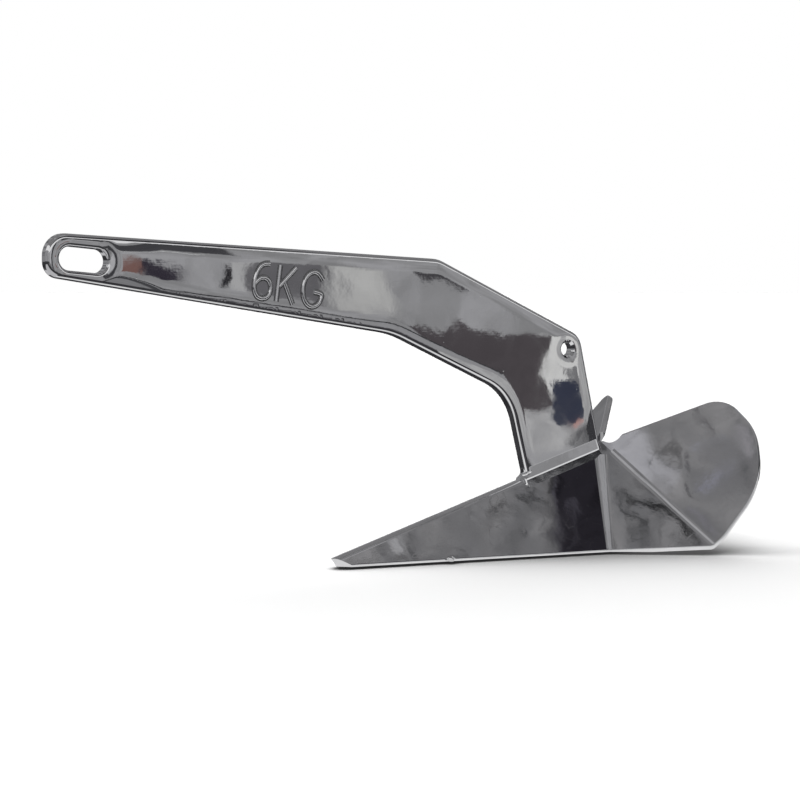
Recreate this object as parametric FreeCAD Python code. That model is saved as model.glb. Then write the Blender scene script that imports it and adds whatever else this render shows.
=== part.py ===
"""A one-piece plough anchor in polished stainless steel, welded up from a shank and a folded fluke.

Millimetres. +X runs from the toe back to the wings, +Y to one side, +Z up. The anchor stands on the
lower edges of its fluke. While it is modelled, X is measured from the toe and Z from the ground, and
the finished pieces are then moved so that the origin is the bottom centre of the whole anchor.
"""

import FreeCAD, Part
import math
import os

Vector = FreeCAD.Vector

# Fluke: one sheet, folded at the ridge, at the two shoulders and at the two wing creases
SHEET = 5.5
TOE_HEIGHT = 15.23
RIDGE_RADIUS = 8.0
TOE_HALF_ANGLE = 12.5
VERTEX_X = 281.6
VERTEX_HEIGHT = 91.0
BLADE_SECTOR = 55.4
SHOULDER_BEND = 25.8
SHOULDER_RADII = (28.0, 9.0)
FACET_SECTOR = 36.2
CREASE_BEND = 10.8
CREASE_RADII = (36.0, 36.0)
BEND_START = 16.0
PLATE_EDGE_RADIUS = 1.6

# Toe: two bevels that meet in a blunt leaning edge and run out on the lower edges
TOE_TIP_X = -6.5
TOE_BASE_X = 0.6
TOE_BEVEL_X = 7.2

# Wing outline: distance along the wing crease back from its foot, distance across from it, corner radius
FACET_EDGE_RISE = 4.8
FACET_TRIM = 1.88
FACET_CORNER_RADIUS = 6.0
WING_HEEL = (0.0, 10.2, 26.0)
WING_FLANK = (13.0, 67.2, 80.0)
WING_OUTER = (55.0, 99.9, 54.0)
WING_TIP = (99.6, 103.8, 25.0)
WING_OUTLINE = (WING_HEEL, WING_FLANK, WING_OUTER, WING_TIP)
WING_TOP_SECTOR = 66.3
WING_TOP_DROP = 1.7
SADDLE_RADIUS = 14.2
SADDLE_START = 1.5

# Shank: a flat cranked bar that stands in the fluke's middle plane
SHANK_THICKNESS = 10.6
SHANK_EDGE_RADIUS = 3.4
EYE_END_X = -260.9
EYE_TOP_RADIUS = 16.4
EYE_UNDER_RADIUS = 12.5
NECK_TOP_X = 99.5
NECK_TOP_HEIGHT = 246.8
NECK_TOP_RADIUS = 30.0
NECK_DEPTH = 60.6
NECK_LEAD = 46.8
NECK_UNDER_RADIUS = 90.0
ARM_TOP_FALL = 2.68
ARM_UNDER_FALL = 8.28
NECK_TOP_FALL = 22.6
NECK_UNDER_FALL = 22.8
HEEL_X = 254.9
HEEL_RADIUS = 17.0
KNEE_X = 175.5
KNEE_RADIUS = 50.0
LEG_REAR_LEAN = 14.0
LEG_FRONT_LEAN = 15.3
FOOT_DEPTH = 3.0

# Openings in the shank: the shackle slot at its end and the trip-line hole at its heel
SLOT_SETBACK = 30.7
SLOT_DROP = 0.94
SLOT_LENGTH = 40.0
SLOT_WIDTH = 17.3
SLOT_TILT = 4.7
SLOT_RIM_RADIUS = 2.6
TRIP_HOLE_SETBACK = 15.0
TRIP_HOLE_DROP = 11.1
TRIP_HOLE_RADIUS = 5.8
TRIP_HOLE_CHAMFER = 2.3

# Weld bead round the foot of the shank: heights are above the ridge's top line
WELD_RISE = 8.0
WELD_LIP = 0.4
WELD_FLARE = 1.5
WELD_HOLLOW_HEIGHT = -0.6
WELD_HOLLOW_RADIUS = 5.0
WELD_TOE_ANGLE = 17.0
WELD_NOSE_HEIGHT = -0.2
WELD_NOSE_RADIUS = 6.0

# Ballast that fills the hollow of the toe
BALLAST_LENGTH = 112.0
BALLAST_LIFT = 1.5

BIG = 900.0
MARGIN = 12.0
TOUCH = 0.01
FULL_ROUND = 0.99
AXIS_Y = Vector(0, 1, 0)
AXIS_Z = Vector(0, 0, 1)


def unit(vector):
    return Vector(vector).normalize()


def turned(vector, axis, angle):
    """The vector turned about an axis by an angle in degrees."""
    return FreeCAD.Rotation(axis, angle).multVec(vector)


def direction(angle):
    """The level direction +X tilted up by an angle in degrees."""
    return turned(Vector(1, 0, 0), AXIS_Y, -angle)


def frame_at(point, along, normal):
    """A placement whose X runs along one direction and whose Z is the normal."""
    return FreeCAD.Placement(point, FreeCAD.Rotation(along, normal.cross(along), normal, "ZXY"))


def side_of(point, normal):
    """Everything on the side of a plane that its normal points to."""
    block = Part.makeBox(BIG, BIG, BIG, Vector(-BIG / 2, -BIG / 2, 0))
    block.Placement = FreeCAD.Placement(point, FreeCAD.Rotation(AXIS_Z, normal))
    return block


def rounded_face(corners):
    """A flat face in XY with straight runs and, at each corner (x, y, radius), a tangent arc."""
    points = [Vector(x, y, 0) for x, y, _ in corners]
    arcs = []
    for i, (here, corner) in enumerate(zip(points, corners)):
        radius = corner[2]
        back = unit(points[i - 1] - here)
        onward = unit(points[(i + 1) % len(points)] - here)
        half = back.getAngle(onward) / 2
        run = radius / math.tan(half)
        middle = here + unit(back + onward) * (radius / math.sin(half) - radius)
        arcs.append((here + back * run, middle, here + onward * run, radius))
    edges = []
    for i, (start, middle, end, radius) in enumerate(arcs):
        edges.append(Part.LineSegment(arcs[i - 1][2], start).toShape())
        if radius > 0:
            edges.append(Part.Arc(start, middle, end).toShape())
    return Part.Face(Part.Wire(edges))


class Fold:
    """The planes and creases of one half of the fluke, the half on the -Y side."""

    def __init__(self):
        self.vertex = Vector(VERTEX_X, 0, VERTEX_HEIGHT)
        self.ridge = unit(Vector(VERTEX_X, 0, VERTEX_HEIGHT - TOE_HEIGHT))
        self.lower_edge = turned(Vector(1, 0, 0), AXIS_Z, -TOE_HALF_ANGLE)
        self.blade = unit(self.lower_edge.cross(self.ridge))
        self.shoulder = turned(-self.ridge, self.blade, BLADE_SECTOR)
        self.facet = turned(self.blade, self.shoulder, SHOULDER_BEND)
        self.crease = turned(self.shoulder, self.facet, FACET_SECTOR)
        self.wing = turned(self.facet, self.crease, CREASE_BEND)
        self.up = Vector(-self.ridge.z, 0, self.ridge.x)
        self.half_fold = math.degrees(math.acos(-self.blade.y))
        self.apex_drop = RIDGE_RADIUS / math.sin(math.radians(self.half_fold)) - RIDGE_RADIUS
        self.apex = self.vertex - self.up * self.apex_drop

        edge_height = SHEET * self.blade.z
        self.shoulder_foot = self.down_to(self.shoulder, edge_height)
        self.crease_foot = self.down_to(self.crease, edge_height + FACET_EDGE_RISE)
        self.facet_edge = unit(self.crease_foot - self.shoulder_foot)
        self.crease_length = (self.crease_foot - self.vertex).Length - FACET_TRIM

    def down_to(self, crease, height):
        """The point of a crease, on the outer faces, at a height above the ground."""
        return self.vertex + crease * ((height - self.vertex.z) / crease.z)

    def mitre(self, crease, front, rear):
        """The normal of the plane that halves a fold, pointing to the rear panel."""
        return unit((front + rear).cross(crease))

    def apex_at(self, x):
        """The point of the rounded ridge's top line at a distance behind the toe."""
        return self.apex + self.ridge * ((x - self.apex.x) / self.ridge.x)


FOLD = Fold()


def mirrored(vector):
    return Vector(vector.x, -vector.y, vector.z)


def folded_prism(depth):
    """A long solid of the blades' slopes, whose rounded top lies at a depth in the sheet."""
    half = math.radians(FOLD.half_fold)
    top = -depth / math.sin(half)
    spread = BIG / 2 * math.tan(half)
    corners = [(0, top, RIDGE_RADIUS - depth), (-spread, top - BIG / 2, 0), (spread, top - BIG / 2, 0)]
    prism = rounded_face(corners).extrude(Vector(0, 0, BIG))
    prism.Placement = frame_at(FOLD.vertex - FOLD.ridge * (BIG / 2), AXIS_Y, FOLD.ridge)
    return prism


def toe_cuts():
    """Everything in front of the toe's two bevels."""
    tip = FOLD.apex_at(TOE_TIP_X)
    base = Vector(TOE_BASE_X, 0, 0)
    end = FOLD.shoulder_foot + FOLD.lower_edge * ((TOE_BEVEL_X - FOLD.shoulder_foot.x) / FOLD.lower_edge.x)
    front = unit((base - tip).cross(end - tip))
    return [side_of(tip, front), side_of(tip, mirrored(front))]


def edges_along(shape, lines):
    """The straight edges of a shape that run along one of the lines."""
    found = []
    for edge in shape.Edges:
        run = edge.Vertexes[-1].Point - edge.Vertexes[0].Point
        if any(run.Length > 1 and abs(unit(run).dot(line)) > 0.99999 for line in lines):
            found.append(edge)
    return found


def blade_pair():
    """Both blades and the rounded ridge between them, from the toe back to the shoulders."""
    sheet = folded_prism(0).cut(folded_prism(SHEET))
    behind = FOLD.mitre(FOLD.shoulder, FOLD.blade, FOLD.facet)
    below = FOLD.lower_edge.cross(FOLD.blade)
    sheet = sheet.cut([side_of(FOLD.shoulder_foot, below), side_of(mirrored(FOLD.shoulder_foot), mirrored(below))])
    sheet = sheet.cut([side_of(FOLD.vertex, behind), side_of(FOLD.vertex, mirrored(behind))] + toe_cuts())
    lower = edges_along(sheet, [FOLD.lower_edge, mirrored(FOLD.lower_edge)])
    return sheet.makeFillet(PLATE_EDGE_RADIUS, lower)


def panel(corners, place):
    """A flat of the sheet with rounded edges, its outer face in the placement's XY plane."""
    plate = rounded_face(corners).extrude(Vector(0, 0, -SHEET))
    level = [edge for edge in plate.Edges if edge.BoundBox.ZLength < SHEET / 2]
    plate = plate.makeFillet(PLATE_EDGE_RADIUS, level)
    plate.Placement = place
    return plate


def facet_panel():
    """The flat between the shoulder and the wing crease."""
    place = frame_at(FOLD.vertex, FOLD.crease, FOLD.facet)
    start = place.inverse().multVec(FOLD.shoulder_foot - FOLD.facet_edge * MARGIN)
    heel = place.inverse().multVec(FOLD.crease_foot)
    edge = unit(heel - start)
    corner = heel + edge * ((FOLD.crease_length - heel.x) / edge.x)
    corners = [
        (-MARGIN, 0, 0),
        (0, MARGIN, 0),
        (FOLD.crease_length, MARGIN, 0),
        (corner.x, corner.y, FACET_CORNER_RADIUS),
        (start.x, start.y, 0),
    ]
    flat = panel(corners, place)
    flat = flat.cut(side_of(FOLD.vertex, -FOLD.mitre(FOLD.shoulder, FOLD.blade, FOLD.facet)))
    return flat.cut(side_of(FOLD.vertex, FOLD.mitre(FOLD.crease, FOLD.facet, FOLD.wing)))


def wing_panel():
    """The rounded wing behind its crease, up to the fluke's middle plane."""
    top = turned(Vector(1, 0, 0), AXIS_Z, WING_TOP_SECTOR)
    start = turned(top, AXIS_Z, -90) * WING_TOP_DROP - top * MARGIN
    length = FOLD.crease_length
    corners = [(-MARGIN, -MARGIN / 2, 0), (length, -MARGIN / 2, 0)]
    corners += [(length - back, across, radius) for back, across, radius in WING_OUTLINE]
    corners.append((start.x, start.y, 0))
    flat = panel(corners, frame_at(FOLD.vertex, FOLD.crease, FOLD.wing))
    flat = flat.cut(side_of(FOLD.vertex, -FOLD.mitre(FOLD.crease, FOLD.facet, FOLD.wing)))
    return flat.cut(side_of(FOLD.vertex, AXIS_Y))


def bend_profile(bend, radius):
    """The corner between two panels and a tangent arc of a radius, seen along their crease."""
    half = math.radians(bend) / 2
    run = radius * math.tan(half)
    lift = radius / math.cos(half) - radius
    corner = Vector(0, 0, 0)
    left = Vector(-run * math.cos(half), run * math.sin(half), 0)
    right = Vector(-left.x, left.y, 0)
    arc = Part.Arc(left, Vector(0, lift, 0), right).toShape()
    return Part.Wire([arc, Part.LineSegment(right, corner).toShape(), Part.LineSegment(corner, left).toShape()])


def bend_bar(crease, front, rear, bend, radii, depth):
    """What a bend fills in a crease, or takes off it at a depth under the outer faces."""
    outward = unit(front + rear)
    turn = FreeCAD.Rotation(outward.cross(crease), outward, crease, "ZXY")
    corner = FOLD.vertex - outward * (depth / math.cos(math.radians(bend) / 2))
    profiles = []
    for along, radius in zip((BEND_START, FOLD.crease_length), radii):
        profile = bend_profile(bend, radius + depth)
        profile.Placement = FreeCAD.Placement(corner + crease * along, turn)
        profiles.append(profile)
    return Part.makeLoft(profiles, True, True)


def bends(depth):
    """The bars of both bends of one half, ending just above the lower edges."""
    shoulder = bend_bar(FOLD.shoulder, FOLD.blade, FOLD.facet, SHOULDER_BEND, SHOULDER_RADII, depth)
    crease = bend_bar(FOLD.crease, FOLD.facet, FOLD.wing, CREASE_BEND, CREASE_RADII, depth)
    below = unit(FOLD.lower_edge.cross(FOLD.blade) + FOLD.facet_edge.cross(FOLD.facet))
    shoulder = shoulder.cut(side_of(FOLD.shoulder_foot - below * PLATE_EDGE_RADIUS, below))
    end = FOLD.vertex + FOLD.crease * (FOLD.crease_length - PLATE_EDGE_RADIUS)
    return [shoulder, crease.cut(side_of(end, FOLD.crease))]


def make_fluke():
    """The folded sheet: blades, facets and wings in one piece."""
    half = facet_panel().fuse(wing_panel())
    fill, relief = bends(0), bends(SHEET)
    half = half.fuse(fill)
    fluke = blade_pair().fuse([half, half.mirror(Vector(0, 0, 0), AXIS_Y)])
    for bar in relief:
        fluke = fluke.cut([bar, bar.mirror(Vector(0, 0, 0), AXIS_Y)])
    centre = Vector(VERTEX_X + SADDLE_START + SADDLE_RADIUS, 0, 0)
    fluke = fluke.cut(Part.makeCylinder(SADDLE_RADIUS, BIG, centre))
    return fluke.removeSplitter()


def line_through(point, fall):
    """A straight line in XZ, as a point and a direction that falls by an angle."""
    return Vector(point[0], 0, point[1]), direction(-fall)


def crossing(line, other):
    """Where two lines in XZ meet."""
    point, along = line
    target, across = other
    gap = target - point
    reach = (gap.x * across.z - gap.z * across.x) / (along.x * across.z - along.z * across.x)
    return point + along * reach


NECK_CORNER = (NECK_TOP_X, NECK_TOP_HEIGHT)
UNDER_CORNER = (NECK_TOP_X - NECK_LEAD, NECK_TOP_HEIGHT - NECK_DEPTH)
ARM_TOP = line_through(NECK_CORNER, ARM_TOP_FALL)
ARM_UNDER = line_through(UNDER_CORNER, ARM_UNDER_FALL)
NECK_TOP = line_through(NECK_CORNER, NECK_TOP_FALL)
NECK_UNDER = line_through(UNDER_CORNER, NECK_UNDER_FALL)
HEEL = crossing(NECK_TOP, line_through((HEEL_X, 0), 90))
KNEE = crossing(NECK_UNDER, line_through((KNEE_X, 0), 90))
TRIP_HOLE = HEEL - Vector(TRIP_HOLE_SETBACK, 0, TRIP_HOLE_DROP)


def arm_at(x):
    """The arm's top and underside at a distance behind the toe."""
    across = line_through((x, 0), 90)
    return crossing(across, ARM_TOP), crossing(across, ARM_UNDER)


def eye_radii():
    """The two radii of the arm's end, no larger than the arm's depth there leaves room for."""
    top, under = arm_at(EYE_END_X)
    upper = math.radians(90 - ARM_TOP_FALL) / 2
    lower = math.radians(90 + ARM_UNDER_FALL) / 2
    taken = EYE_TOP_RADIUS / math.tan(upper) + EYE_UNDER_RADIUS / math.tan(lower)
    share = min(1, (top.z - under.z) / taken * FULL_ROUND)
    return EYE_TOP_RADIUS * share, EYE_UNDER_RADIUS * share


def slot_centre():
    """The middle of the shackle slot, a little below the arm's own middle."""
    top, under = arm_at(EYE_END_X + SLOT_SETBACK)
    return (top + under) / 2 - Vector(0, 0, SLOT_DROP)


def slot_rim():
    """The radius of the slot's rims, no larger than the wall under the slot leaves room for."""
    wall = slot_centre().z - arm_at(EYE_END_X + SLOT_SETBACK)[1].z - SLOT_WIDTH / 2
    return min(SLOT_RIM_RADIUS, (wall - SHANK_EDGE_RADIUS) * FULL_ROUND)


def foot_end(corner, lean, depth):
    """Where a side of the leg, from its upper corner, comes to a depth under the ridge's top line."""
    return crossing((corner, direction(lean - 90)), (FOLD.apex - FOLD.up * depth, FOLD.ridge))


def shank_corners():
    """The shank's outline in XZ, from the eye over the neck to the heel, the foot and back."""
    end_top, end_under = arm_at(EYE_END_X)
    top_radius, under_radius = eye_radii()
    points = [
        (end_top, top_radius),
        (NECK_TOP[0], NECK_TOP_RADIUS),
        (HEEL, HEEL_RADIUS),
        (foot_end(HEEL, LEG_REAR_LEAN, FOOT_DEPTH), 0),
        (foot_end(KNEE, LEG_FRONT_LEAN, FOOT_DEPTH), 0),
        (KNEE, KNEE_RADIUS),
        (NECK_UNDER[0], NECK_UNDER_RADIUS),
        (end_under, under_radius),
    ]
    return [(point.x, point.z, radius) for point, radius in points]


def upright(face, thickness):
    """A plate that stands in the middle plane, drawn as a face in XY."""
    plate = face.extrude(Vector(0, 0, thickness))
    plate.Placement = FreeCAD.Placement(Vector(0, thickness / 2, 0), FreeCAD.Rotation(Vector(1, 0, 0), 90))
    return plate


def slot_face():
    """The shackle slot's outline, straight sides and round ends, tilted to the arm."""
    half = SLOT_WIDTH / 2
    reach = SLOT_LENGTH / 2 - half
    edges = [
        Part.LineSegment(Vector(-reach, half, 0), Vector(reach, half, 0)).toShape(),
        Part.Arc(Vector(reach, half, 0), Vector(reach + half, 0, 0), Vector(reach, -half, 0)).toShape(),
        Part.LineSegment(Vector(reach, -half, 0), Vector(-reach, -half, 0)).toShape(),
        Part.Arc(Vector(-reach, -half, 0), Vector(-reach - half, 0, 0), Vector(-reach, half, 0)).toShape(),
    ]
    face = Part.Face(Part.Wire(edges))
    centre = slot_centre()
    face.Placement = FreeCAD.Placement(Vector(centre.x, centre.z, 0), FreeCAD.Rotation(AXIS_Z, -SLOT_TILT))
    return face


def side_edges(shape):
    """The edges that lie in the two side faces of the shank."""
    half = SHANK_THICKNESS / 2
    found = []
    for edge in shape.Edges:
        box = edge.BoundBox
        if box.YLength < TOUCH and abs(abs(box.YMin) - half) < TOUCH:
            found.append(edge)
    return found


def rims(shape, centre, size):
    """The edges round an opening in both side faces of the shank."""
    found = []
    for edge in side_edges(shape):
        box = edge.BoundBox
        if max(centre.x - box.XMin, box.XMax - centre.x, centre.z - box.ZMin, box.ZMax - centre.z) < size:
            found.append(edge)
    return found


def make_shank(fluke):
    """The cranked bar with its slot and hole, its foot hollowed to sit on the ridge."""
    plate = upright(rounded_face(shank_corners()), SHANK_THICKNESS)
    sole = edges_along(plate, [FOLD.ridge])
    outline = [edge for edge in side_edges(plate) if not any(edge.isSame(other) for other in sole)]
    plate = plate.makeFillet(SHANK_EDGE_RADIUS, outline)
    plate = plate.cut(upright(slot_face(), SHANK_THICKNESS))
    plate = plate.cut(Part.makeCylinder(TRIP_HOLE_RADIUS, BIG, TRIP_HOLE + AXIS_Y * (BIG / 2), -AXIS_Y))
    plate = plate.makeFillet(slot_rim(), rims(plate, slot_centre(), SLOT_LENGTH))
    plate = plate.makeChamfer(TRIP_HOLE_CHAMFER, rims(plate, TRIP_HOLE, TRIP_HOLE_RADIUS * 1.5))
    return largest(plate.cut(fluke))


def weld_profile():
    """Half of the bead's section: X across from the middle plane, Y up from the ridge's top line."""
    side = SHANK_THICKNESS / 2
    toe = Vector(side + WELD_FLARE, WELD_HOLLOW_HEIGHT, 0)
    toe = toe + turned(Vector(0, -RIDGE_RADIUS, 0), AXIS_Z, FOLD.half_fold - WELD_TOE_ANGLE)
    corners = [
        (0, WELD_RISE, 0),
        (side + WELD_LIP, WELD_RISE, 0),
        (side + WELD_FLARE, WELD_HOLLOW_HEIGHT, WELD_HOLLOW_RADIUS),
        (toe.x, toe.y, 0),
        (0, toe.y, 0),
    ]
    return rounded_face(corners)


def weld_front(rise, floor):
    """The hollow fillet in front of the leg: X ahead of the leg, Y up from the ridge's top line."""
    flare = (WELD_FLARE - WELD_LIP) / (WELD_RISE - WELD_HOLLOW_HEIGHT) * (rise - WELD_NOSE_HEIGHT)
    corners = [
        (-SHANK_THICKNESS / 2, floor, 0),
        (-SHANK_THICKNESS / 2, rise, 0),
        (WELD_LIP, rise, 0),
        (WELD_LIP + flare, WELD_NOSE_HEIGHT, WELD_NOSE_RADIUS),
        (MARGIN, WELD_NOSE_HEIGHT, 0),
        (MARGIN, floor, 0),
    ]
    return rounded_face(corners)


def weld_nose(front, profile):
    """The bead in front of the leg: its fillet swept round the ridge, round the leg and between its flanks."""
    place = frame_at(front, -FOLD.ridge, AXIS_Y)
    centre = front - FOLD.up * RIDGE_RADIUS
    collar = weld_front(WELD_RISE * 2, -WELD_LIP)
    collar.Placement = place
    collar.rotate(centre, FOLD.ridge, -90)
    collar = collar.revolve(centre, FOLD.ridge, 180)
    cone = weld_front(WELD_RISE, -BIG)
    cone.Placement = place
    cone = cone.revolve(front + FOLD.ridge * (SHANK_THICKNESS / 2), FOLD.up, 360)
    profile.Placement = frame_at(front - FOLD.ridge * MARGIN, AXIS_Y, FOLD.ridge)
    flank = profile.extrude(FOLD.ridge * (MARGIN + SHANK_THICKNESS / 2))
    return flank.fuse(flank.mirror(Vector(0, 0, 0), AXIS_Y)).common(collar).common(cone)


def make_weld(fluke, shank):
    """The hollow bead that runs round the foot of the shank."""
    side = FOLD.ridge * (SHANK_THICKNESS / 2)
    front = foot_end(KNEE, LEG_FRONT_LEAN, 0)
    rear = foot_end(HEEL, LEG_REAR_LEAN, 0) - side
    profile = weld_profile()
    profile.Placement = frame_at(front + side, AXIS_Y, FOLD.ridge)
    flank = profile.extrude(rear - front - side)
    profile.Placement = frame_at(rear, AXIS_Y, FOLD.ridge)
    heel = profile.revolve(rear, FOLD.up, 360)
    bead = flank.fuse([flank.mirror(Vector(0, 0, 0), AXIS_Y), heel, weld_nose(front, profile)])
    return largest(bead.cut([folded_prism(0), shank]).cut(fluke))


def largest(shape):
    """The largest solid of a shape, without what a cut has left over."""
    volumes = [solid.Volume for solid in shape.Solids]
    return shape.Solids[volumes.index(max(volumes))]


def make_ballast():
    """The steel that fills the hollow of the toe."""
    rear = side_of(Vector(BALLAST_LENGTH, 0, 0), Vector(1, 0, 0))
    below = side_of(Vector(0, 0, BALLAST_LIFT), -AXIS_Z)
    return folded_prism(SHEET).cut(toe_cuts() + [rear, below])


def main():
    os.makedirs("parts", exist_ok=True)
    fluke = make_fluke()
    shank = make_shank(fluke)
    pieces = {
        "fluke_plate": fluke,
        "shank": shank,
        "shank_weld": make_weld(fluke, shank),
        "toe_ballast": make_ballast(),
    }
    box = Part.makeCompound(list(pieces.values())).optimalBoundingBox(False)
    shift = Vector(-box.Center.x, 0, -box.ZMin)
    for name, shape in pieces.items():
        shape.translate(shift)
        shape.exportStep("parts/" + name + ".step")


main()
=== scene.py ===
"""A polished stainless steel plough anchor on a white table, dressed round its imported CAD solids."""

import math

import bmesh
import bpy
from bpy.props import FloatProperty, FloatVectorProperty, PointerProperty
from mathutils import Matrix, Vector, bvhtree, geometry, kdtree, noise


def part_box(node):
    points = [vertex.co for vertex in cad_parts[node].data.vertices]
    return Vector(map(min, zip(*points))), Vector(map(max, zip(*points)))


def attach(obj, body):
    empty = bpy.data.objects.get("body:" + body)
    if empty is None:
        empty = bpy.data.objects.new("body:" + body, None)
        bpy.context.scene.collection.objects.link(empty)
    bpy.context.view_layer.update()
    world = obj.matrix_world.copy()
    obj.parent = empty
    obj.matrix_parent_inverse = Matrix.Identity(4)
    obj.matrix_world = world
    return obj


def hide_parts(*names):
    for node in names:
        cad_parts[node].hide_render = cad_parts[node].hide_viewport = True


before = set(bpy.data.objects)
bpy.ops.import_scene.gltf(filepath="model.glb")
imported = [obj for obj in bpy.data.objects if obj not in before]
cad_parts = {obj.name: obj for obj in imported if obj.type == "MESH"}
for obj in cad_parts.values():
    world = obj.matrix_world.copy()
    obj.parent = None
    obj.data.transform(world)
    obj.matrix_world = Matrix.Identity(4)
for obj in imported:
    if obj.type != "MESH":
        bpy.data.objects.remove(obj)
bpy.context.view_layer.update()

MM = 0.001

bl_info = {
    "name": "Plough Anchor",
    "version": (1, 0, 0),
    "blender": (4, 5, 0),
    "location": "3D View > Sidebar > Anchor",
    "description": "Finishes a one-piece plough anchor in polished stainless steel and sets up its studio",
    "category": "Object",
}


# Colours and nodes

def channels(code):
    """The sRGB channels of a hex colour, as a colour property holds them."""
    return [int(code[i:i + 2], 16) / 255 for i in (1, 3, 5)]


def linear(colour, shade=1.0):
    """The linear RGBA of an sRGB colour, hex or channels, darkened by a factor."""
    levels = channels(colour) if isinstance(colour, str) else colour
    lit = [c / 12.92 if c <= 0.04045 else ((c + 0.055) / 1.055) ** 2.4 for c in levels]
    return tuple(shade * c for c in lit) + (1.0,)


def per_metre(size_mm):
    """The texture scale whose features are this many millimetres apart."""
    return 1000.0 / size_mm


def add(tree, kind, inputs=None, **settings):
    """Adds a node, sets its properties and feeds its inputs with values or with other nodes' outputs."""
    made = tree.nodes.new(kind)
    for name, value in settings.items():
        setattr(made, name, value)
    for key, value in (inputs or {}).items():
        socket = made.inputs[key]
        if isinstance(value, bpy.types.NodeSocket):
            tree.links.new(value, socket)
        else:
            socket.default_value = value
    return made


def new_material(name):
    """A material with an empty node tree."""
    material = bpy.data.materials.new(name)
    material.use_nodes = True
    material.node_tree.nodes.clear()
    return material


def dress(piece, material):
    """Puts one material on the whole piece."""
    piece.data.materials.clear()
    piece.data.materials.append(material)


# Finishes

# A noise lies mostly between 0.3 and 0.7. Haze and scuffs set in over these parts of its range, and scuffs and
# folds are thin lines where it is this near its middle.
HAZY = (0.42, 0.75)
SCUFFED = (0.46, 0.60)
SCUFF_NEAR = 0.014
FOLD_NEAR = 0.020


def steel(name, finish, wave_mm, wave_height_mm, ripple_mm, ripple_height_mm, roughness, lay=(0.0, 0.0, 0.0),
          scuffing=0.0, shade=1.0):
    """AISI 316 stainless steel, ground and buffed by hand.

    The buffing leaves long shallow waves and short ripples that bend the reflections, hairlines along its
    lay and a few pits. Steel is a grey metal, so its reflections have no hue of their own.
    """
    material = new_material(name)
    tree = material.node_tree
    place = add(tree, "ShaderNodeTexCoord").outputs["Object"]

    waves = add(tree, "ShaderNodeTexNoise",
                {"Vector": place, "Scale": per_metre(wave_mm), "Detail": 1.0, "Roughness": 0.4})
    bent = add(tree, "ShaderNodeBump",
               {"Height": waves.outputs["Fac"], "Distance": wave_height_mm * MM, "Strength": 1.0})
    ripples = add(tree, "ShaderNodeTexNoise",
                  {"Vector": place, "Scale": per_metre(ripple_mm), "Detail": 2.0, "Roughness": 0.5})
    bent = add(tree, "ShaderNodeBump",
               {"Height": ripples.outputs["Fac"], "Distance": ripple_height_mm * MM, "Strength": 1.0,
                "Normal": bent.outputs["Normal"]})

    # Buffing lines: real ones are a few hundredths of a millimetre apart, drawn here as coarse as they show
    along = add(tree, "ShaderNodeMapping",
                {"Vector": place, "Rotation": lay, "Scale": (1.0, finish.line_stretch, finish.line_stretch)})
    lines = add(tree, "ShaderNodeTexNoise",
                {"Vector": along.outputs["Vector"], "Scale": per_metre(finish.line_mm), "Detail": 3.0,
                 "Roughness": 0.7})
    bent = add(tree, "ShaderNodeBump",
               {"Height": lines.outputs["Fac"], "Distance": finish.line_height_mm * MM, "Strength": 1.0,
                "Normal": bent.outputs["Normal"]})

    # Pits left in the skin of the bar and the sheet, about half a millimetre across and far apart
    pits = add(tree, "ShaderNodeTexVoronoi",
               {"Vector": place, "Scale": per_metre(finish.pit_spacing_mm), "Randomness": 1.0})
    depth = add(tree, "ShaderNodeMapRange",
                {"Value": pits.outputs["Distance"], "From Max": finish.pit_width_mm / finish.pit_spacing_mm,
                 "To Min": -1.0, "To Max": 0.0}, interpolation_type="SMOOTHSTEP")
    bent = add(tree, "ShaderNodeBump",
               {"Height": depth.outputs["Result"], "Distance": finish.pit_depth_mm * MM, "Strength": 1.0,
                "Normal": bent.outputs["Normal"]})

    # Haze: the buff leaves some places duller than others
    haze = add(tree, "ShaderNodeTexNoise",
               {"Vector": place, "Scale": per_metre(finish.haze_mm), "Detail": 4.0, "Roughness": 0.6,
                "Distortion": 0.6})
    rough = add(tree, "ShaderNodeMapRange",
                {"Value": haze.outputs["Fac"], "From Min": HAZY[0], "From Max": HAZY[1], "To Min": roughness,
                 "To Max": roughness + finish.haze}, interpolation_type="SMOOTHSTEP").outputs["Result"]
    if scuffing > 0.0:
        rough = add(tree, "ShaderNodeMath", {0: rough, 1: scuffs(tree, place, finish, scuffing)},
                    operation="ADD").outputs[0]
    tone = add(tree, "ShaderNodeMix",
               {"Factor": haze.outputs["Fac"], "A": linear(finish.steel, shade),
                "B": linear(finish.steel_haze, shade)}, data_type="RGBA")
    shader = add(tree, "ShaderNodeBsdfPrincipled",
                 {"Base Color": tone.outputs["Result"], "Metallic": 1.0, "Roughness": rough,
                  "Normal": bent.outputs["Normal"]})
    add(tree, "ShaderNodeOutputMaterial", {"Surface": shader.outputs["BSDF"]})
    return material


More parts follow.
